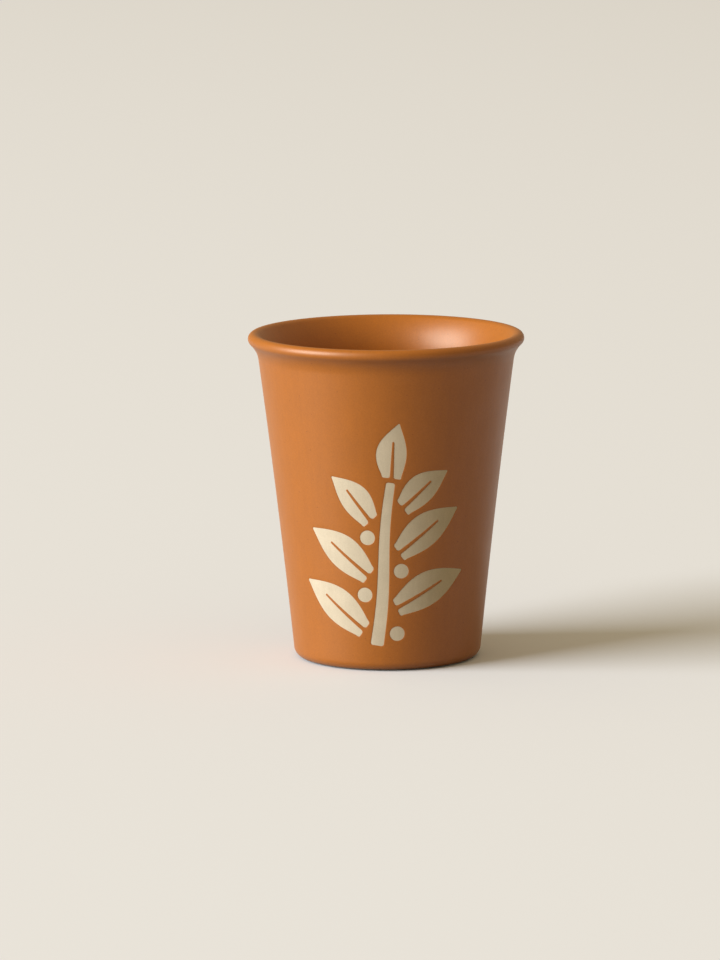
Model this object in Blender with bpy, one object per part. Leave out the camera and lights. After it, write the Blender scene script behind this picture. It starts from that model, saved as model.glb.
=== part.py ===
"""Handleless espresso cup in stoneware.

A cast clay body carries a satin glaze coat that runs up the flank, over the rolled lip and across
the floor. The coat is left open on the front for a painted coffee sprig, and each stroke of the
sprig is a patch of cream slip that lies in its own opening. A separate patch of glaze lies in the
recess under the base, inside the dry foot ring. Metres, +Z up, origin at the middle of the foot,
front of the cup towards -Y.
"""

import math

import bmesh
import bpy
import numpy as np
from mathutils import Vector
from mathutils.geometry import tessellate_polygon

# Form of the glazed cup
HEIGHT = 0.0712
RIM_DIAMETER = 0.0600
BASE_DIAMETER = 0.0404  # where the line of the flank meets the table
LIP_OVERHANG = 0.0015  # from the line of the flank to the rim, at full height
FLANK_HOLLOW = 0.0003  # how far the flank bows in at mid height
UNDERCUT_ANGLE = math.radians(44)  # slope under the lip, from the vertical
NECK_FILLET = 0.0058  # between the undercut and the flank
FLARE_RADIUS = 0.0120  # where the inside opens towards the lip
FLOOR_FILLET = 0.0055  # between the floor and the inside wall

# Clay under the glaze
CLAY_WALL = 0.0020
FLOOR_CLAY = 0.0032
LIP_EDGE_ROUND = 0.00065
MOUTH_ROUND = 0.0012
FOOT_EDGE_ROUND = 0.00165
FOOT_RING_WIDTH = 0.0026
FOOT_DRAFT = math.radians(20)
BASE_CLEARANCE = 0.00075  # from the table up to the glaze under the base

# Coats
GLAZE = 0.00035
SLIP = 0.00025
SEAT_GAP = 0.0003  # between any two pieces
DRY_EDGE = 0.0004  # height of the lower edge of the glaze

# Sprig, drawn flat: across the front, and up from the table
STEM_FOOT = (-0.0022, 0.0062)
STEM_LENGTH = 0.0355
STEM_LEAN = 0.0030
STEM_SWAY = 0.0007
STEM_FOOT_WIDTH = 0.0022
STEM_TIP_WIDTH = 0.0013
STAND_OFF = 0.0016  # from the edge of the stem to a leaf or a berry
LEAF_CURL = 0.0007  # how far a leaf bows towards the tip of the sprig
LEAF_BASE_WIDTH = 0.0034  # across the blunt foot of a leaf
VEIN_FOOT_WIDTH = 0.0009  # of the tongue of glaze that shows as the vein
VEIN_TIP_WIDTH = 0.0005
VEIN_REACH = 0.70  # share of the leaf that the vein runs up
LOWER_LEAF_LENGTH = 0.0168
LOWER_LEAF_WIDTH = 0.0068
MIDDLE_LEAF_LENGTH = 0.0160
MIDDLE_LEAF_WIDTH = 0.0066
UPPER_LEAF_LENGTH = 0.0122
UPPER_LEAF_WIDTH = 0.0057
TIP_LEAF_LENGTH = 0.0115
TIP_LEAF_WIDTH = 0.0058
BERRY_DIAMETER = 0.0026
SIDE_LEAVES = {  # percent of the way up the stem, side, degrees from the stem, length, width
    "slip_leaf_lower_left": (8, -1, 62, LOWER_LEAF_LENGTH, LOWER_LEAF_WIDTH),
    "slip_leaf_lower_right": (24, 1, 60, LOWER_LEAF_LENGTH, LOWER_LEAF_WIDTH),
    "slip_leaf_middle_left": (43, -1, 56, MIDDLE_LEAF_LENGTH, MIDDLE_LEAF_WIDTH),
    "slip_leaf_middle_right": (58, 1, 54, MIDDLE_LEAF_LENGTH, MIDDLE_LEAF_WIDTH),
    "slip_leaf_upper_left": (77, -1, 48, UPPER_LEAF_LENGTH, UPPER_LEAF_WIDTH),
    "slip_leaf_upper_right": (87, 1, 46, UPPER_LEAF_LENGTH, UPPER_LEAF_WIDTH),
}
BERRIES = {  # percent of the way up the stem, side
    "slip_berry_lower_left": (30, -1),
    "slip_berry_lower_right": (8, 1),
    "slip_berry_middle_left": (66, -1),
    "slip_berry_middle_right": (46, 1),
}

# Facets
TURN_STEPS = 48
FLANK_STEPS = 6
ROUND_STEPS = 3
LEAF_STEPS = 8
BERRY_STEPS = 14
STEM_STEPS = 8
MERGE = 0.00001
SHARP_EDGE = math.radians(40)
STAMP_REACH = 0.3  # share of the radius by which a cutting outline passes the flank, out and in

# Worked out from the sizes above
COAT = GLAZE + SEAT_GAP
LIP_ROUND = LIP_EDGE_ROUND + COAT
INNER_LIP_ROUND = MOUTH_ROUND + COAT
FOOT_ROUND = FOOT_EDGE_ROUND + COAT
WALL = CLAY_WALL + 2 * COAT
BASE_RECESS = BASE_CLEARANCE + COAT
FLOOR_HEIGHT = BASE_RECESS + FLOOR_CLAY + COAT


def direction(angle):
    return np.array([math.cos(angle), math.sin(angle)])


def angle_of(vector):
    return math.atan2(vector[1], vector[0])


def arc(centre, radius, start, end, steps):
    """Points of a section round a centre, each with its normal; a negative radius is a hollow."""
    normals = [direction(start + (end - start) * i / steps) for i in range(steps + 1)]
    return [(centre + radius * normal, normal) for normal in normals]


# The flank is a long hollow arc between the table and the rim
flank_top = np.array([RIM_DIAMETER / 2 - LIP_OVERHANG, HEIGHT])
flank_foot = np.array([BASE_DIAMETER / 2, 0.0])
flank_line = flank_top - flank_foot
lean = math.atan2(flank_line[0], flank_line[1])
flank_radius = flank_line @ flank_line / (8 * FLANK_HOLLOW) + FLANK_HOLLOW / 2
flank_centre = (flank_top + flank_foot) / 2 + (flank_radius - FLANK_HOLLOW) * direction(-lean)


def flank_reach(height):
    """Radius of the flank at a height."""
    return flank_centre[0] - math.sqrt(flank_radius**2 - (height - flank_centre[1]) ** 2)


def inside_section():
    """The inside from the middle of the floor to the crown of the lip."""
    wall_normal = direction(math.pi - lean)
    wall_place = flank_foot @ wall_normal + WALL
    bowl_height = FLOOR_HEIGHT + FLOOR_FILLET
    bowl_reach = (bowl_height * math.sin(lean) - wall_place - FLOOR_FILLET) / math.cos(lean)
    lip_centre = np.array([RIM_DIAMETER / 2 - LIP_ROUND, HEIGHT - INNER_LIP_ROUND])
    growth = FLARE_RADIUS - INNER_LIP_ROUND
    flare_turn = math.acos((lip_centre @ wall_normal + FLARE_RADIUS - wall_place) / growth)
    flare_end = math.pi - lean - flare_turn
    flare_centre = lip_centre - growth * direction(flare_end)
    floor = [(np.array([0.0, FLOOR_HEIGHT]), direction(math.pi / 2))]
    bowl = arc(np.array([bowl_reach, bowl_height]), -FLOOR_FILLET, math.pi / 2, math.pi - lean, ROUND_STEPS)
    flare = arc(flare_centre, FLARE_RADIUS, math.pi - lean, flare_end, ROUND_STEPS)
    lip = arc(lip_centre, INNER_LIP_ROUND, flare_end, math.pi / 2, ROUND_STEPS)
    return floor + bowl + flare + lip[1:]


def lip_section():
    """The bead of the lip from its crown down to the neck, and the fillet to the flank."""
    bead_centre = np.array([RIM_DIAMETER / 2 - LIP_ROUND, HEIGHT - LIP_ROUND])
    bead = arc(bead_centre, LIP_ROUND, math.pi / 2, -UNDERCUT_ANGLE, 2 * ROUND_STEPS)
    undercut = direction(-UNDERCUT_ANGLE - math.pi / 2)
    start = bead[-1][0] + NECK_FILLET * direction(-UNDERCUT_ANGLE)
    offset = start - flank_centre
    along = offset @ undercut
    length = math.sqrt(along**2 + (flank_radius - NECK_FILLET) ** 2 - offset @ offset) - along
    neck_centre = start + length * undercut
    neck_end = angle_of(flank_centre - neck_centre)
    return bead[1:], arc(neck_centre, -NECK_FILLET, -UNDERCUT_ANGLE, neck_end, ROUND_STEPS)


def foot_centre():
    """Centre of the round between the flank and the table."""
    rise = flank_centre[1] - FOOT_ROUND
    return np.array([flank_centre[0] - math.sqrt((flank_radius + FOOT_ROUND) ** 2 - rise**2), FOOT_ROUND])


inside = inside_section()
bead, neck = lip_section()
corner_centre = foot_centre()
corner_start = angle_of(flank_centre - corner_centre)
glaze_end = -math.asin(1 - DRY_EDGE / FOOT_ROUND)
flank = arc(flank_centre, -flank_radius, angle_of(neck[-1][1]), corner_start, FLANK_STEPS)
glazed_corner = arc(corner_centre, FOOT_ROUND, corner_start, glaze_end, ROUND_STEPS)
dry_corner = arc(corner_centre, FOOT_ROUND, glaze_end, -math.pi / 2, ROUND_STEPS)
glazed_face = inside + bead + neck + flank[1:] + glazed_corner[1:]
clay_face = glazed_face + dry_corner[1:]


def sunk(face, depth):
    """The section moved into the wall by a depth, still parallel to the face."""
    return [point - depth * normal for point, normal in face]


def material(name, colour, roughness):
    made = bpy.data.materials.new(name)
    made.use_nodes = True
    shader = made.node_tree.nodes["Principled BSDF"]
    shader.inputs["Base Color"].default_value = (*colour, 1.0)
    shader.inputs["Roughness"].default_value = roughness
    shader.inputs["Metallic"].default_value = 0.0
    return made


def linked(name, mesh):
    part = bpy.data.objects.new(name, mesh)
    bpy.context.scene.collection.objects.link(part)
    return part


def helper(part):
    part.hide_render = True
    part.display_type = "WIRE"
    return part


def turned(name, section, closed):
    """A section in the XZ plane turned about Z; a closed one is a ring, an open one ends on the axis."""
    shape = bmesh.new()
    points = [shape.verts.new((x, 0.0, z)) for x, z in section]
    pairs = list(zip(points, points[1:]))
    if closed:
        pairs.append((points[-1], points[0]))
    edges = [shape.edges.new(pair) for pair in pairs]
    bmesh.ops.spin(
        shape, geom=points + edges, axis=(0, 0, 1), cent=(0, 0, 0), angle=math.tau, steps=TURN_STEPS
    )
    bmesh.ops.remove_doubles(shape, verts=shape.verts[:], dist=MERGE)
    mesh = bpy.data.meshes.new(name)
    shape.to_mesh(mesh)
    shape.free()
    mesh.shade_smooth()
    mesh.set_sharp_from_angle(angle=SHARP_EDGE)
    return linked(name, mesh)


def flank_shell(name, outer_depth, inner_depth):
    """A ring that follows the whole flank between two depths under the glazed face."""
    return turned(name, sunk(flank, outer_depth) + sunk(flank, inner_depth)[::-1], True)


def wrapped(across, up, middle, scale):
    """A point of the flat drawing on the front of the flank, scaled from the axis at a height."""
    reach = flank_reach(up)
    turn = across / reach
    return (scale * reach * math.sin(turn), -scale * reach * math.cos(turn), middle + scale * (up - middle))


def stamp(name, outlines):
    """Solid outlines wrapped round the flank, each tapering towards the axis, so that its walls are flat."""
    points = []
    faces = []
    for outline in outlines:
        count = len(outline)
        outer = range(len(points), len(points) + count)
        inner = range(len(points) + count, len(points) + 2 * count)
        middle = sum(up for across, up in outline) / count
        for scale in (1 + STAMP_REACH, 1 - STAMP_REACH):
            points += [wrapped(across, up, middle, scale) for across, up in outline]
        for a, b, c in tessellate_polygon([[Vector((across, up, 0)) for across, up in outline]]):
            faces += [(outer[a], outer[b], outer[c]), (inner[c], inner[b], inner[a])]
        faces += [(outer[i - 1], inner[i - 1], inner[i], outer[i]) for i in range(count)]
    mesh = bpy.data.meshes.new(name)
    mesh.from_pydata(points, [], faces)
    return helper(linked(name, mesh))


def combine(part, operation, other):
    change = part.modifiers.new(operation.title(), "BOOLEAN")
    change.operation = operation
    change.solver = "EXACT"
    change.use_self = True
    change.object = other


def stem_point(share):
    """A point on the stem's swaying middle line."""
    sway = STEM_SWAY * math.sin(math.tau * share) / 2
    return np.array([STEM_FOOT[0] + STEM_LEAN * share + sway, STEM_FOOT[1] + STEM_LENGTH * share])


def stem_heading(share):
    step = 1 / STEM_STEPS
    return angle_of(stem_point(share + step) - stem_point(share - step))


def stem_half_width(share):
    return (STEM_FOOT_WIDTH + (STEM_TIP_WIDTH - STEM_FOOT_WIDTH) * share) / 2


def stem_outline(grow):
    """The stem's strip, widened all round by a margin."""
    sides = ([], [])
    for i in range(STEM_STEPS + 1):
        share = i / STEM_STEPS
        heading = stem_heading(share)
        end = grow * ((i == STEM_STEPS) - (i == 0)) * direction(heading)
        across = (stem_half_width(share) + grow) * direction(heading - math.pi / 2)
        sides[0].append(stem_point(share) + end + across)
        sides[1].append(stem_point(share) + end - across)
    return sides[0] + sides[1][::-1]


def leaf_outline(foot, heading, curl, length, width, grow):
    """A pointed leaf, open along its vein from the foot, widened all round by a margin."""
    along = direction(heading)
    across = direction(heading + math.pi / 2)
    half_base = LEAF_BASE_WIDTH / 2
    swell = (width - half_base) / 2
    tip_slope = math.atan((half_base + math.pi * swell) / length)
    tip = length + grow / math.sin(tip_slope)
    vein_end = VEIN_REACH * length - grow
    vein_foot = VEIN_FOOT_WIDTH / 2 + SEAT_GAP - grow
    vein_tip = VEIN_TIP_WIDTH / 2 + SEAT_GAP - grow

    def place(distance, aside):
        share = distance / length
        bend = curl * 4 * share * (1 - share)
        return foot + distance * along + (aside + bend) * across

    def half_width(share):
        return half_base * (1 - share) + swell * math.sin(math.pi * share)

    edges = ([], [])
    for i in range(LEAF_STEPS):
        share = i / LEAF_STEPS
        for side, edge in zip((1, -1), edges):
            edge.append(place(length * share - grow * (i == 0), side * (half_width(share) + grow)))
    into_vein = [place(-grow, vein_foot), place(vein_end, vein_tip)]
    out_of_vein = [place(vein_end, -vein_tip), place(-grow, -vein_foot)]
    return out_of_vein + edges[1] + [place(tip, 0)] + edges[0][::-1] + into_vein


def side_leaf_outline(percent, side, degrees, length, width, grow):
    share = percent / 100
    angle = math.radians(degrees)
    heading = stem_heading(share) - side * angle
    away = stem_half_width(share) + STAND_OFF + LEAF_BASE_WIDTH / 2 * math.cos(angle)
    foot = stem_point(share) + away * direction(stem_heading(share) - side * math.pi / 2)
    return leaf_outline(foot, heading, side * LEAF_CURL, length, width, grow)


def tip_leaf_outline(grow):
    heading = stem_heading(1)
    foot = stem_point(1) + STAND_OFF * direction(heading)
    return leaf_outline(foot, heading, LEAF_CURL, TIP_LEAF_LENGTH, TIP_LEAF_WIDTH, grow)


def berry_outline(percent, side, grow):
    share = percent / 100
    away = stem_half_width(share) + STAND_OFF + BERRY_DIAMETER / 2
    centre = stem_point(share) + away * direction(stem_heading(share) - side * math.pi / 2)
    turns = [math.tau * i / BERRY_STEPS for i in range(BERRY_STEPS)]
    return [centre + (BERRY_DIAMETER / 2 + grow) * direction(turn) for turn in turns]


def sprig(grow):
    """Every stroke of the sprig by name, each outline widened by a margin."""
    strokes = {"slip_stem": stem_outline(grow)}
    strokes["slip_tip_leaf"] = tip_leaf_outline(grow)
    for name, leaf in SIDE_LEAVES.items():
        strokes[name] = side_leaf_outline(*leaf, grow)
    for name, berry in BERRIES.items():
        strokes[name] = berry_outline(*berry, grow)
    return strokes


for leftover in list(bpy.data.objects):
    bpy.data.objects.remove(leftover, do_unlink=True)

clay = material("stoneware_clay", (0.62, 0.50, 0.36), 0.75)
terracotta = material("terracotta_glaze", (0.42, 0.125, 0.032), 0.38)
cream = material("cream_slip", (0.76, 0.64, 0.45), 0.65)

# Clay body: the glazed face less the coat, closed by the foot ring and the recess under the base
foot_outer = corner_centre[0] - COAT * math.tan(FOOT_DRAFT)
foot_inner = foot_outer - FOOT_RING_WIDTH
recess_edge = foot_inner - BASE_RECESS * math.tan(FOOT_DRAFT)
underside = [(foot_outer, 0.0), (foot_inner, 0.0), (recess_edge, BASE_RECESS), (0.0, BASE_RECESS)]
stoneware_body = turned("stoneware_body", sunk(clay_face, COAT) + underside, False)
stoneware_body.data.materials.append(clay)

# Glaze coat: between the glazed face and its back, open where the sprig is
glaze_coat = turned("glaze_coat", sunk(glazed_face, 0) + sunk(glazed_face, GLAZE)[::-1], False)
glaze_coat.data.materials.append(terracotta)
openings = helper(flank_shell("sprig_openings", -CLAY_WALL / 2, GLAZE + CLAY_WALL / 2))
combine(openings, "INTERSECT", stamp("sprig_openings_stamp", sprig(SEAT_GAP).values()))
combine(glaze_coat, "DIFFERENCE", openings)

# Glaze under the base: a thin disc against the roof of the recess, rounded off at its edge
disc_top = BASE_RECESS - SEAT_GAP
disc_edge = recess_edge - SEAT_GAP
edge_centre = np.array([disc_edge - GLAZE / 2, disc_top - GLAZE / 2])
edge = arc(edge_centre, GLAZE / 2, math.pi / 2, -math.pi / 2, ROUND_STEPS)
base_glaze = turned("base_glaze", [(0.0, disc_top)] + sunk(edge, 0) + [(0.0, disc_top - GLAZE)], False)
base_glaze.data.materials.append(terracotta)

# Slip: each stroke is cut from a thin shell that lies on the clay, level with the glaze or just below it
for name, outline in sprig(0).items():
    stroke = flank_shell(name, GLAZE - SLIP, GLAZE)
    stroke.data.materials.append(cream)
    combine(stroke, "INTERSECT", stamp(name + "_stamp", [outline]))
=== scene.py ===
import math

import bpy
from mathutils import Matrix, Vector


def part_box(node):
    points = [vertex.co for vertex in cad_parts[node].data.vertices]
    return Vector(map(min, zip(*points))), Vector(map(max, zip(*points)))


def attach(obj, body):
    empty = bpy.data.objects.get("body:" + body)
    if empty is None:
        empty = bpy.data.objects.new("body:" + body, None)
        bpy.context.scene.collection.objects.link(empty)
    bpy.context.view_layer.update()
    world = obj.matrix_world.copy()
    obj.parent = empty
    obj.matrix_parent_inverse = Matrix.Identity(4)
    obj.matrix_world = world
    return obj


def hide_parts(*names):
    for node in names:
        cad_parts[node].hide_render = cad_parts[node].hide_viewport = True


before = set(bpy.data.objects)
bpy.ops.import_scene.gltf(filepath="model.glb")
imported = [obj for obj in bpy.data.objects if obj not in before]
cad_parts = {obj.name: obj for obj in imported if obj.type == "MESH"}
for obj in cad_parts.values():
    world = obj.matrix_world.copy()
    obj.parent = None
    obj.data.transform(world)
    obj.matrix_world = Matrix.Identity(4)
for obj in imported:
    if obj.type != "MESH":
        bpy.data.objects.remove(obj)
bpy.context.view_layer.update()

# Clay body
# The wall, lip, floor and foot of the cup, in pale buff stoneware. It is cast in one piece in a plaster
# mould and sponged smooth. Glaze hides it, apart from the dry foot ring and the edge of the recess.
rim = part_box("glaze_coat")[1]
cup_height = rim.z
rim_radius = rim.x
table_radius = 0.0202  # where the line of the flank meets the table
lip_overhang = 0.0015  # from the line of the flank to the rim, at full height
flank_hollow = 0.0003  # how far the flank bows in at mid height
undercut_angle = math.radians(44)  # slope under the lip, from the vertical
lip_round = 0.0013
inner_lip_round = 0.00185
neck_fillet = 0.0058
flare_radius = 0.0120
foot_round = 0.0023
wall_thickness = 0.0033
floor_height = 0.00525
floor_fillet = 0.0055
glaze_thickness = 0.00035
glaze_edge_height = 0.0004  # of the end of the glaze, above the table
glaze_gap = 0.00002  # between the clay and the back of the glaze
clay_depth = glaze_thickness + glaze_gap  # of the clay under the glazed face
foot_ring_inside = 0.01528
foot_ring_outside = 0.01788
foot_draft = math.radians(20)  # of the wall of the recess, from the vertical
foot_edge_softening = 0.0003
recess_height = 0.0014
floor_reaches = (0.0, 0.004, 0.008)  # of the points drawn along the flat of the floor
bowl_steps = 14  # this and the seven below: steps along the arcs of the section
flare_steps = 8
mouth_steps = 10
bead_steps = 18
neck_steps = 10
flank_steps = 48
foot_steps = 10
dry_steps = 6
corner_steps = 5  # round a softened corner
turn_steps = 256
merge_distance = 0.000002  # points that lie nearer than this become one
crease_angle = math.radians(30)  # edges that bend more than this stay crisp
clay_dark = (0.55, 0.43, 0.30)
clay_light = (0.66, 0.54, 0.39)


def direction(angle):
    return Vector((math.cos(angle), math.sin(angle)))


def angle_of(vector):
    return math.atan2(vector.y, vector.x)


def arc(centre, radius, start, end, steps):
    """Points of a section round a centre, each with its normal; a negative radius makes a hollow."""
    normals = [direction(start + (end - start) * i / steps) for i in range(steps + 1)]
    return [(centre + radius * normal, normal) for normal in normals]


def softened(before, corner, after, radius):
    """A corner of a section, rounded off between the points before and after it."""
    towards = [(point - corner).normalized() for point in (before, after)]
    half_angle = towards[0].angle(towards[1]) / 2
    centre = corner + (towards[0] + towards[1]).normalized() * radius / math.sin(half_angle)
    ends = [corner + side * radius / math.tan(half_angle) - centre for side in towards]
    start = angle_of(ends[0])
    turn = (angle_of(ends[1]) - start + math.pi) % math.tau - math.pi
    return [centre + radius * direction(start + turn * i / corner_steps) for i in range(corner_steps + 1)]


def sunk(face, depth):
    """A section moved in under its face, still parallel to it."""
    return [point - depth * normal for point, normal in face]


def turned(name, section):
    """Draws a section point by point in the XZ plane and spins it round the upright axis."""
    bpy.ops.object.select_all(action="DESELECT")
    bpy.ops.mesh.primitive_plane_add(location=(0, 0, 0))
    piece = bpy.context.object
    piece.name = piece.data.name = name
    bpy.ops.object.mode_set(mode="EDIT")
    bpy.ops.mesh.select_all(action="SELECT")
    bpy.ops.mesh.merge(type="CENTER")
    bpy.ops.transform.translate(value=(section[0].x, 0, section[0].y))
    for here, there in zip(section, section[1:]):
        step = there - here
        bpy.ops.mesh.extrude_vertices_move(TRANSFORM_OT_translate={"value": (step.x, 0, step.y)})
    bpy.ops.mesh.select_all(action="SELECT")
    bpy.ops.mesh.spin(steps=turn_steps, angle=math.tau, center=(0, 0, 0), axis=(0, 0, 1))
    bpy.ops.mesh.select_all(action="SELECT")
    bpy.ops.mesh.remove_doubles(threshold=merge_distance)
    bpy.ops.mesh.normals_make_consistent(inside=False)
    bpy.ops.object.mode_set(mode="OBJECT")
    bpy.ops.object.shade_smooth_by_angle(angle=crease_angle)
    return piece


# The flank is a long hollow arc from the table to the rim
flank_top = Vector((rim_radius - lip_overhang, cup_height))
flank_foot = Vector((table_radius, 0.0))
flank_line = flank_top - flank_foot
lean = math.atan2(flank_line.x, flank_line.y)
flank_radius = flank_line.length_squared / (8 * flank_hollow) + flank_hollow / 2
flank_centre = (flank_top + flank_foot) / 2 + (flank_radius - flank_hollow) * direction(-lean)

# The inside runs from the middle of the floor through the bowl and the flare to the crown of the lip
wall_normal = direction(math.pi - lean)
wall_place = flank_foot.dot(wall_normal) + wall_thickness
bowl_height = floor_height + floor_fillet
bowl_reach = (bowl_height * math.sin(lean) - wall_place - floor_fillet) / math.cos(lean)
lip_centre = Vector((rim_radius - lip_round, cup_height - inner_lip_round))
flare_growth = flare_radius - inner_lip_round
flare_turn = math.acos((lip_centre.dot(wall_normal) + flare_radius - wall_place) / flare_growth)
flare_end = math.pi - lean - flare_turn
flare_centre = lip_centre - flare_growth * direction(flare_end)
floor_face = [(Vector((reach, floor_height)), direction(math.pi / 2)) for reach in floor_reaches]
bowl_face = arc(Vector((bowl_reach, bowl_height)), -floor_fillet, math.pi / 2, math.pi - lean, bowl_steps)
flare_face = arc(flare_centre, flare_radius, math.pi - lean, flare_end, flare_steps)
mouth_face = arc(lip_centre, inner_lip_round, flare_end, math.pi / 2, mouth_steps)

# The outside runs over the bead of the lip, under it into the neck, and down the flank to the foot
bead_centre = Vector((rim_radius - lip_round, cup_height - lip_round))
bead_face = arc(bead_centre, lip_round, math.pi / 2, -undercut_angle, bead_steps)
undercut = direction(-undercut_angle - math.pi / 2)
neck_start = bead_face[-1][0] + neck_fillet * direction(-undercut_angle)
neck_offset = neck_start - flank_centre
along = neck_offset.dot(undercut)
reach_squared = (flank_radius - neck_fillet) ** 2
undercut_length = math.sqrt(along**2 + reach_squared - neck_offset.length_squared) - along
neck_centre = neck_start + undercut_length * undercut
neck_end = angle_of(flank_centre - neck_centre)
neck_face = arc(neck_centre, -neck_fillet, -undercut_angle, neck_end, neck_steps)
foot_rise = flank_centre.y - foot_round
foot_reach = flank_centre.x - math.sqrt((flank_radius + foot_round) ** 2 - foot_rise**2)
foot_centre = Vector((foot_reach, foot_round))
foot_start = angle_of(flank_centre - foot_centre)
glaze_end = -math.asin(1 - glaze_edge_height / foot_round)
flank_face = arc(flank_centre, -flank_radius, neck_end, foot_start, flank_steps)
foot_face = arc(foot_centre, foot_round, foot_start, glaze_end, foot_steps)
dry_face = arc(foot_centre, foot_round, glaze_end, -math.pi / 2, dry_steps)

glazed_face = floor_face + bowl_face + flare_face[:-1] + mouth_face
glazed_face += bead_face[1:] + neck_face + flank_face[1:] + foot_face[1:]
recess_edge = foot_ring_inside - recess_height * math.tan(foot_draft)
foot_corners = [
    sunk(dry_face, clay_depth)[-1],
    Vector((foot_ring_outside, 0.0)),
    Vector((foot_ring_inside, 0.0)),
    Vector((recess_edge, recess_height)),
    Vector((0.0, recess_height)),
]
underside = []
for before, corner, after in zip(foot_corners, foot_corners[1:], foot_corners[2:]):
    underside += softened(before, corner, after, foot_edge_softening)
clay_section = sunk(glazed_face + dry_face[1:], clay_depth) + underside + [foot_corners[-1]]
clay_body = turned("clay_body", clay_section)


def add_node(tree, kind, **values):
    """Adds a shader node and sets its sockets by name, with _ for a space."""
    made = tree.nodes.new(kind)
    for name, value in values.items():
        made.inputs[name.replace("_", " ")].default_value = value
    return made


def add_texture(tree, kind, stretch=(1, 1, 1), **values):
    """Adds a texture on the piece's own coordinates, stretched along them, with its sockets set."""
    texture = add_node(tree, kind, **values)
    place = tree.nodes.new("ShaderNodeTexCoord")
    mapping = add_node(tree, "ShaderNodeMapping", Scale=stretch)
    tree.links.new(place.outputs["Object"], mapping.inputs["Vector"])
    tree.links.new(mapping.outputs["Vector"], texture.inputs["Vector"])
    return texture


def add_ramp(tree, source, first, last, low=0.3, high=0.7):
    """Turns a grey value into a colour, from the first at the low value to the last at the high one."""
    made = tree.nodes.new("ShaderNodeValToRGB")
    for element, position, colour in zip(made.color_ramp.elements, (low, high), (first, last)):
        element.position = position
        element.color = (*colour, 1.0)
    tree.links.new(source, made.inputs["Fac"])
    return made.outputs["Color"]


def add_multiply(tree, colour, shade):
    """Darkens or lightens one colour by another. Sockets 6, 7 and 2 are the mix node's colours."""
    made = tree.nodes.new("ShaderNodeMix")
    made.data_type = "RGBA"
    made.blend_type = "MULTIPLY"
    made.inputs["Factor"].default_value = 1.0
    tree.links.new(colour, made.inputs[6])
    tree.links.new(shade, made.inputs[7])
    return made.outputs[2]


def add_bump(tree, shader, reliefs):
    """Chains bumps, each a height, its strength and its depth, into a shader."""
    last = None
    for height, strength, depth in reliefs:
        bump = add_node(tree, "ShaderNodeBump", Strength=strength, Distance=depth)
        tree.links.new(height, bump.inputs["Height"])
        if last:
            tree.links.new(last, bump.inputs["Normal"])
        last = bump.outputs["Normal"]
    tree.links.new(last, shader.inputs["Normal"])


clay = bpy.data.materials.new("buff_stoneware")
clay.use_nodes = True
tree = clay.node_tree
shader = tree.nodes["Principled BSDF"]
shader.inputs["Roughness"].default_value = 0.82
cloud = add_texture(tree, "ShaderNodeTexNoise", Scale=160, Detail=3)
grit = add_texture(tree, "ShaderNodeTexNoise", Scale=2600, Detail=2)
iron = add_texture(tree, "ShaderNodeTexVoronoi", Scale=900)
clay_colour = add_ramp(tree, cloud.outputs["Fac"], clay_dark, clay_light)
grit_shade = add_ramp(tree, grit.outputs["Fac"], (0.86, 0.85, 0.83), (1.05, 1.05, 1.05))
iron_shade = add_ramp(tree, iron.outputs["Distance"], (0.45, 0.36, 0.28), (1, 1, 1), low=0.06, high=0.12)
clay_colour = add_multiply(tree, add_multiply(tree, clay_colour, grit_shade), iron_shade)
tree.links.new(clay_colour, shader.inputs["Base Color"])
add_bump(tree, shader, [(grit.outputs["Fac"], 0.6, 0.00006), (cloud.outputs["Fac"], 0.3, 0.0001)])


def settle(piece, material, node):
    """Gives a piece its finish and sets it on the cup in place of a CAD node."""
    piece.data.materials.append(material)
    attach(piece, "root")
    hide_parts(node)


settle(clay_body, clay, "stoneware_body")

# Painted sprig
# A coffee sprig on the front, brushed on the raw clay in thick cream slip: a stem, leaves with an open
# vein, and berries. Each stroke dries to a thin matte patch, and the glaze is kept off it.
stem_foot = Vector((-0.0022, 0.0062))  # across the front, and up from the table
stem_length = 0.0355
stem_lean = 0.0030
stem_sway = 0.0007
stem_foot_width = 0.0022
stem_tip_width = 0.0013
heading_reach = 0.125  # share of the stem, each way, over which its heading is taken
stand_off = 0.0016  # from the edge of the stem to a leaf or a berry
leaf_curl = 0.0007
leaf_base_width = 0.0034
vein_foot_width = 0.0009
vein_tip_width = 0.0005
vein_reach = 0.70  # share of the leaf's length
berry_radius = 0.0013
opening_margin = 0.0003  # from a stroke to the edge of its opening in the glaze
side_leaves = {  # share of the way up the stem, side, degrees from the stem, length, width
    "leaf_lower_left": (0.08, -1, 62, 0.0168, 0.0068),
    "leaf_lower_right": (0.24, 1, 60, 0.0168, 0.0068),
    "leaf_middle_left": (0.43, -1, 56, 0.0160, 0.0066),
    "leaf_middle_right": (0.58, 1, 54, 0.0160, 0.0066),
    "leaf_upper_left": (0.77, -1, 48, 0.0122, 0.0057),
    "leaf_upper_right": (0.87, 1, 46, 0.0122, 0.0057),
}
tip_leaf_length = 0.0115
tip_leaf_width = 0.0058
berries = {  # share of the way up the stem, side
    "berry_lower_left": (0.30, -1),
    "berry_lower_right": (0.08, 1),
    "berry_middle_left": (0.66, -1),
    "berry_middle_right": (0.46, 1),
}
outline_steps = 28
brush_round = 0.0006  # at most, at the ends and corners of a stroke
corner_turn = math.radians(25)  # above this, a bend in an outline is a corner
corner_room = 0.45  # share of the shorter side beside a corner that its rounding may take
slip_depth = 0.00005  # of the slip's face under the face of the glaze
slip_edge = 0.00005  # of the bevel round each patch
strip_width = 0.0008  # of the strips that a flat drawing is cut into, before it is bent
strip_height = 0.0040
slip_dark = (0.61, 0.53, 0.393)
slip_light = (0.67, 0.58, 0.433)


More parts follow.
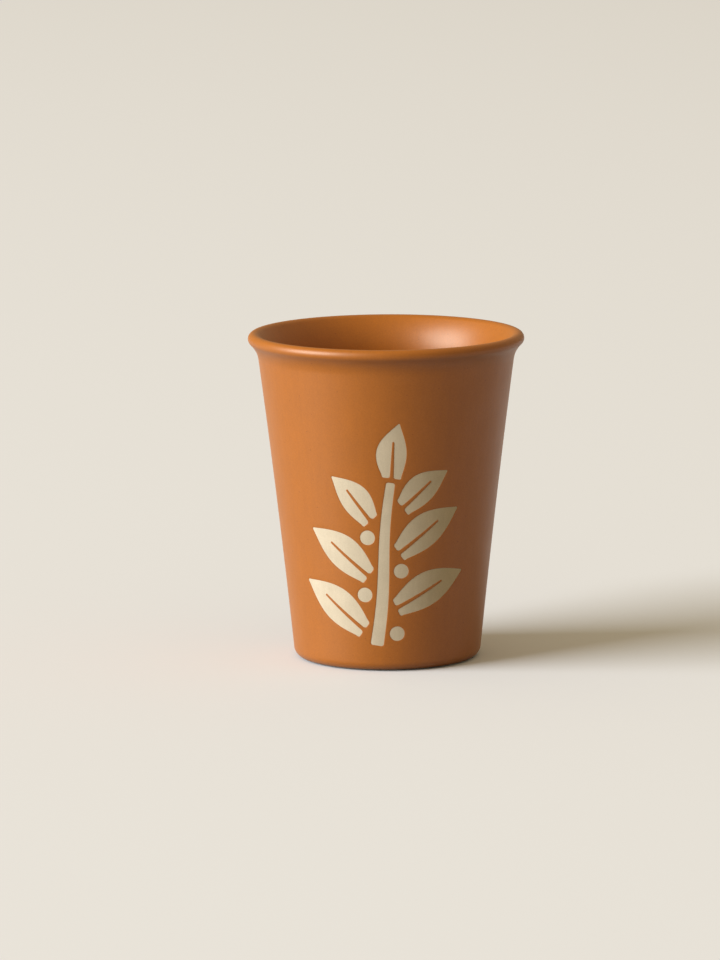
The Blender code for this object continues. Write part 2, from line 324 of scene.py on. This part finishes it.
def stem_point(share):
    sway = stem_sway * math.sin(math.tau * share) / 2
    return stem_foot + Vector((stem_lean * share + sway, stem_length * share))


def stem_heading(share):
    return angle_of(stem_point(share + heading_reach) - stem_point(share - heading_reach))


def stem_half_width(share):
    return (stem_foot_width + (stem_tip_width - stem_foot_width) * share) / 2


def beside_stem(share, side, away):
    """A point off the edge of the stem."""
    outwards = direction(stem_heading(share) - side * math.pi / 2)
    return stem_point(share) + (stem_half_width(share) + stand_off + away) * outwards


def stem_outline(grow):
    """The stem's tapered strip, widened all round by a margin."""
    right, left = [], []
    for i in range(outline_steps + 1):
        share = i / outline_steps
        heading = stem_heading(share)
        end = grow * ((i == outline_steps) - (i == 0)) * direction(heading)
        aside = (stem_half_width(share) + grow) * direction(heading - math.pi / 2)
        right.append(stem_point(share) + end + aside)
        left.append(stem_point(share) + end - aside)
    return right + left[::-1]


def leaf_outline(foot, heading, curl, length, width, grow):
    """A pointed leaf, open along its vein from the foot, widened all round by a margin."""
    forwards = direction(heading)
    leftwards = direction(heading + math.pi / 2)
    half_base = leaf_base_width / 2
    swell = (width - half_base) / 2
    tip_slope = math.atan((half_base + math.pi * swell) / length)
    tip = length + grow / math.sin(tip_slope)
    vein_end = vein_reach * length - grow
    vein_foot = vein_foot_width / 2 + opening_margin - grow
    vein_tip = vein_tip_width / 2 + opening_margin - grow

    def place(distance, aside):
        share = distance / length
        bend = curl * 4 * share * (1 - share)
        return foot + distance * forwards + (aside + bend) * leftwards

    right, left = [], []
    for i in range(outline_steps):
        share = i / outline_steps
        aside = half_base * (1 - share) + swell * math.sin(math.pi * share) + grow
        along_leaf = length * share - grow * (i == 0)
        right.append(place(along_leaf, -aside))
        left.append(place(along_leaf, aside))
    out_of_vein = [place(vein_end, -vein_tip), place(-grow, -vein_foot)]
    into_vein = [place(-grow, vein_foot), place(vein_end, vein_tip)]
    return out_of_vein + right + [place(tip, 0)] + left[::-1] + into_vein


def brushed(outline):
    """Rounds off the corners of an outline, as a full brush leaves them."""
    rounded = []
    for before, corner, after in zip(outline[-1:] + outline, outline, outline[1:] + outline[:1]):
        turn = (corner - before).angle(after - corner)
        if turn > corner_turn:
            room = corner_room * min((corner - before).length, (after - corner).length)
            radius = min(brush_round, room / math.tan(turn / 2))
            rounded += softened(before, corner, after, radius)
        else:
            rounded.append(corner)
    return rounded


def sprig(grow):
    """Every stroke's outline by name, widened by a margin."""
    strokes = {"stem": stem_outline(grow)}
    top = stem_heading(1)
    tip_foot = stem_point(1) + stand_off * direction(top)
    strokes["tip_leaf"] = leaf_outline(tip_foot, top, leaf_curl, tip_leaf_length, tip_leaf_width, grow)
    for name, (share, side, degrees, length, width) in side_leaves.items():
        angle = math.radians(degrees)
        foot = beside_stem(share, side, leaf_base_width / 2 * math.cos(angle))
        heading = stem_heading(share) - side * angle
        strokes[name] = leaf_outline(foot, heading, side * leaf_curl, length, width, grow)
    for name, (share, side) in berries.items():
        centre = beside_stem(share, side, berry_radius)
        turns = [math.tau * i / outline_steps for i in range(outline_steps)]
        strokes[name] = [centre + (berry_radius + grow) * direction(turn) for turn in turns]
    return {name: brushed(outline) for name, outline in strokes.items()}


def drawn_flat(name, outline, depth):
    """Draws an outline as one flat face at a depth, and leaves it in edit mode."""
    bpy.ops.object.select_all(action="DESELECT")
    bpy.ops.mesh.primitive_circle_add(vertices=len(outline), fill_type="NGON", location=(0, 0, 0))
    piece = bpy.context.object
    piece.name = piece.data.name = name
    for vertex, point in zip(piece.data.vertices, outline):
        vertex.co = (point.x, depth, point.y)
    bpy.ops.object.mode_set(mode="EDIT")
    bpy.ops.mesh.select_all(action="SELECT")
    return piece


def extrude_inwards(distance):
    bpy.ops.mesh.extrude_region_move(TRANSFORM_OT_translate={"value": (0, distance, 0)})


def slice_all(axis, spacing, low, high):
    """Cuts the mesh in edit mode into strips across one axis."""
    for i in range(math.ceil(low / spacing), math.floor(high / spacing) + 1):
        bpy.ops.mesh.select_all(action="SELECT")
        bpy.ops.mesh.bisect(plane_co=i * spacing * axis, plane_no=axis)


def bent_round_flank(piece, outline):
    """Cuts a flat drawing into strips, ends edit mode and bends it round the front of the flank."""
    slice_all(Vector((1, 0, 0)), strip_width, min(p.x for p in outline), max(p.x for p in outline))
    slice_all(Vector((0, 0, 1)), strip_height, min(p.y for p in outline), max(p.y for p in outline))
    bpy.ops.object.mode_set(mode="OBJECT")
    for vertex in piece.data.vertices:
        across, depth, up = vertex.co
        reach = flank_centre.x - math.sqrt(flank_radius**2 - (up - flank_centre.y) ** 2)
        turn = across / reach
        out = reach - depth / math.cos(lean)
        vertex.co = (out * math.sin(turn), -out * math.cos(turn), up)
    return piece


slip = bpy.data.materials.new("cream_slip")
slip.use_nodes = True
tree = slip.node_tree
shader = tree.nodes["Principled BSDF"]
shader.inputs["Roughness"].default_value = 0.68
brush = add_texture(tree, "ShaderNodeTexNoise", stretch=(1, 1, 0.12), Scale=1500, Detail=3)
wash = add_texture(tree, "ShaderNodeTexNoise", Scale=260, Detail=3)
grain = add_texture(tree, "ShaderNodeTexNoise", Scale=4200, Detail=2)
slip_colour = add_ramp(tree, wash.outputs["Fac"], slip_dark, slip_light)
brush_shade = add_ramp(tree, brush.outputs["Fac"], (0.97, 0.965, 0.955), (1.02, 1.02, 1.025))
grain_shade = add_ramp(tree, grain.outputs["Fac"], (0.94, 0.94, 0.93), (1.03, 1.03, 1.03))
slip_colour = add_multiply(tree, add_multiply(tree, slip_colour, brush_shade), grain_shade)
tree.links.new(slip_colour, shader.inputs["Base Color"])
add_bump(tree, shader, [(brush.outputs["Fac"], 0.25, 0.00004), (grain.outputs["Fac"], 0.4, 0.00002)])

# Each patch reaches a hair into the glaze at its sides, so that no gap shows round it
slip_thickness = glaze_thickness - slip_depth
for name, outline in sprig(opening_margin + slip_edge).items():
    stroke = drawn_flat("cream_" + name, outline, glaze_thickness)
    extrude_inwards(slip_edge - slip_thickness)
    bpy.ops.mesh.inset(thickness=slip_edge, depth=slip_edge, use_even_offset=True)
    bent_round_flank(stroke, outline)
    bpy.ops.object.shade_smooth_by_angle(angle=crease_angle)
    settle(stroke, slip, "slip_" + name)

# Glaze coat
# Satin terracotta glaze, sprayed inside and out in one go after the sprig was masked. It runs up the
# flank, over the lip and across the floor, ends in a soft roll above the foot, and stops at each stroke.
opening_flare = 0.00015  # that an opening widens by at the face of the glaze
opening_reach = 0.0006  # of a cutter, out past the glaze and in past it
rounding = [(0.00007, 0.00001), (0.00005, 0.00003), (0.00003, 0.00006)]  # across and down, from the face
roll_steps = 8
coat_crease_angle = math.radians(18)
glaze_dark = (0.366, 0.109, 0.0053)
glaze_light = (0.386, 0.115, 0.0057)

glaze_back = sunk(glazed_face, glaze_thickness)
roll_centre = (glazed_face[-1][0] + glaze_back[-1]) / 2
roll_start = angle_of(glazed_face[-1][1])
roll_face = arc(roll_centre, glaze_thickness / 2, roll_start, roll_start - math.pi, roll_steps)
glaze_section = sunk(glazed_face + roll_face[1:-1], 0) + glaze_back[::-1]
glaze_coat = turned("terracotta_coat", glaze_section)

cutters = []
for name, outline in sprig(opening_margin + opening_flare).items():
    cutter = drawn_flat("opening_" + name, outline[::-1], -opening_reach)
    extrude_inwards(opening_reach)
    for across, down in rounding:
        bpy.ops.mesh.inset(thickness=across, depth=down, use_even_offset=True)
    extrude_inwards(opening_reach)
    cutters.append(bent_round_flank(cutter, outline))
for cutter in cutters:
    cutter.select_set(True)
bpy.ops.object.join()
openings = bpy.context.object
bpy.ops.object.select_all(action="DESELECT")
bpy.context.view_layer.objects.active = glaze_coat
glaze_coat.select_set(True)
cut = glaze_coat.modifiers.new("openings", "BOOLEAN")
cut.operation = "DIFFERENCE"
cut.solver = "EXACT"
cut.object = openings
bpy.ops.object.modifier_apply(modifier=cut.name)
bpy.data.objects.remove(openings)

# The cut leaves slivers, which are merged, and many-sided faces, which become triangles
bpy.ops.object.mode_set(mode="EDIT")
bpy.ops.mesh.select_all(action="SELECT")
bpy.ops.mesh.remove_doubles(threshold=merge_distance)
bpy.ops.mesh.quads_convert_to_tris(quad_method="BEAUTY", ngon_method="BEAUTY")
bpy.ops.object.mode_set(mode="OBJECT")
bpy.ops.object.shade_smooth_by_angle(angle=coat_crease_angle)

glaze = bpy.data.materials.new("satin_terracotta_glaze")
glaze.use_nodes = True
tree = glaze.node_tree
shader = tree.nodes["Principled BSDF"]
mottle = add_texture(tree, "ShaderNodeTexNoise", Scale=150, Detail=4, Roughness=0.6)
runs = add_texture(tree, "ShaderNodeTexNoise", stretch=(1, 1, 0.1), Scale=700, Detail=2)
grain = add_texture(tree, "ShaderNodeTexNoise", Scale=3200, Detail=2)
specks = add_texture(tree, "ShaderNodeTexVoronoi", Scale=520)
glaze_colour = add_ramp(tree, mottle.outputs["Fac"], glaze_dark, glaze_light)
runs_shade = add_ramp(tree, runs.outputs["Fac"], (0.975, 0.97, 0.965), (1.02, 1.02, 1.02))
grain_shade = add_ramp(tree, grain.outputs["Fac"], (0.92, 0.91, 0.90), (1.05, 1.05, 1.05))
speck_shade = add_ramp(tree, specks.outputs["Distance"], (0.6, 0.5, 0.45), (1, 1, 1), low=0.03, high=0.08)
glaze_colour = add_multiply(tree, add_multiply(tree, glaze_colour, runs_shade), grain_shade)
glaze_colour = add_multiply(tree, glaze_colour, speck_shade)
tree.links.new(glaze_colour, shader.inputs["Base Color"])
sheen = add_ramp(tree, mottle.outputs["Fac"], (0.45, 0.45, 0.45), (0.41, 0.41, 0.41))
tree.links.new(sheen, shader.inputs["Roughness"])
shader.inputs["Specular IOR Level"].default_value = 0.8
shader.inputs["Specular Tint"].default_value = (1.0, 0.90, 0.78, 1.0)
add_bump(tree, shader, [(runs.outputs["Fac"], 0.2, 0.00006), (grain.outputs["Fac"], 0.25, 0.00002)])
settle(glaze_coat, glaze, "glaze_coat")

# Glaze under the base
# The same glaze, poured into the shallow recess under the cup, so that only the foot ring stays dry.
# It pulls back from the wall of the recess in a soft edge.
patch_bottom, patch_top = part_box("base_glaze")
patch_radius = patch_top.x
patch_edge = (patch_top.z - patch_bottom.z) / 2
edge_steps = 10
edge_centre = Vector((patch_radius - patch_edge, patch_top.z - patch_edge))
edge_face = arc(edge_centre, patch_edge, math.pi / 2, -math.pi / 2, edge_steps)
patch_section = [Vector((0.0, patch_top.z))] + sunk(edge_face, 0) + [Vector((0.0, patch_bottom.z))]
base_patch = turned("base_glaze_patch", patch_section)
settle(base_patch, glaze, "base_glaze")

# Studio
# A plain pale floor, one large soft lamp far to the left and an even warm room. The floor looks pale, but
# throws little light on the cup, as a darker table would. The camera stands in front, a little above.
floor_size = 40.0
floor_tone = (0.77, 0.80, 0.845)
bounce_tone = (0.12, 0.095, 0.06)  # of the floor, for the light that it throws on the cup
bpy.ops.object.select_all(action="DESELECT")
bpy.ops.mesh.primitive_plane_add(size=floor_size, location=(0, 0, 0))
studio_floor = bpy.context.object
studio_floor.name = "studio_floor"
paper = bpy.data.materials.new("pale_paper")
paper.use_nodes = True
tree = paper.node_tree
seen = add_node(tree, "ShaderNodeBsdfDiffuse", Color=(*floor_tone, 1.0))
bounced = add_node(tree, "ShaderNodeBsdfDiffuse", Color=(*bounce_tone, 1.0))
ray = tree.nodes.new("ShaderNodeLightPath")
shown = ray.outputs["Is Camera Ray"]
for kind in ("Is Glossy Ray", "Is Transmission Ray"):
    either = tree.nodes.new("ShaderNodeMath")
    either.operation = "MAXIMUM"
    tree.links.new(shown, either.inputs[0])
    tree.links.new(ray.outputs[kind], either.inputs[1])
    shown = either.outputs["Value"]
choice = tree.nodes.new("ShaderNodeMixShader")
tree.links.new(shown, choice.inputs["Fac"])
tree.links.new(bounced.outputs["BSDF"], choice.inputs[1])
tree.links.new(seen.outputs["BSDF"], choice.inputs[2])
tree.links.new(choice.outputs["Shader"], tree.nodes["Material Output"].inputs["Surface"])
tree.nodes.remove(tree.nodes["Principled BSDF"])
studio_floor.data.materials.append(paper)

lamp_target = Vector((0, 0, cup_height / 2))
lamp_left = math.radians(68)  # from the camera's side
lamp_up = math.radians(21)
lamp_distance = 10.0
lamp_width = 7.0
lamp_height = 7.5
lamp_power = 1790.0
lamp_way = Vector((-math.sin(lamp_left), -math.cos(lamp_left), math.tan(lamp_up))).normalized()
bpy.ops.object.light_add(type="AREA", location=lamp_target + lamp_distance * lamp_way)
lamp = bpy.context.object
lamp.name = "soft_lamp"
lamp.rotation_euler = lamp_way.to_track_quat("Z", "Y").to_euler()
lamp.data.shape = "RECTANGLE"
lamp.data.size = lamp_width
lamp.data.size_y = lamp_height
lamp.data.energy = lamp_power

room_tone = (1.0, 0.80, 0.50)
room_strength = 0.48
room = bpy.data.worlds.new("warm_room")
room.use_nodes = True
room_light = room.node_tree.nodes["Background"]
room_light.inputs["Color"].default_value = (*room_tone, 1.0)
room_light.inputs["Strength"].default_value = room_strength
bpy.context.scene.world = room
bpy.context.scene.view_settings.view_transform = "Standard"

camera_place = Vector((0.0, -1.28256, 0.24722))
camera_pan = math.radians(-0.2596)
camera_tilt = math.radians(-9.236)
camera_roll = math.radians(-0.295)
camera_lens = 223.63
camera_sensor = 36.0
bpy.ops.object.camera_add(location=camera_place)
camera = bpy.context.object
camera.data.sensor_width = camera_sensor
camera.data.lens = camera_lens
aim = Matrix.Rotation(-camera_pan, 4, "Z") @ Matrix.Rotation(math.pi / 2 + camera_tilt, 4, "X")
camera.matrix_world = Matrix.Translation(camera_place) @ aim @ Matrix.Rotation(camera_roll, 4, "Z")
bpy.context.scene.camera = camera
